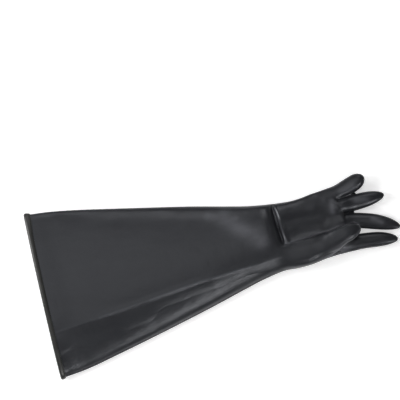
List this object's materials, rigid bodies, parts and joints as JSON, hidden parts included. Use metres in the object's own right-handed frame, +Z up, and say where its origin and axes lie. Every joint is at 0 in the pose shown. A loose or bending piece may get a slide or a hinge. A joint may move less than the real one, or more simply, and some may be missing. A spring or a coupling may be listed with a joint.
{
  "type": "sandblasting glove",
  "caption": "Long rubber blasting cabinet glove, right hand, lying palm up: tapered hollow sleeve with rolled cuff, wrist groove, palm, fingers and thumb.",
  "frame": {"origin": "middle of the glove's outer box, on the surface it lies on", "axes": "+X from the cuff to the fingertips, +Y from the index finger to the little finger, +Z up out of the palm"},
  "size_m": [0.6628, 0.3096, 0.0478],
  "materials": {
    "glove_shell": "satin black dipped rubber, faintly mottled",
    "cuff_bead": "satin black rubber, rolled"
  },
  "bodies": {
    "root": {"glove_shell": "glove_shell", "cuff_bead": "cuff_bead"}
  },
  "joints": []
}
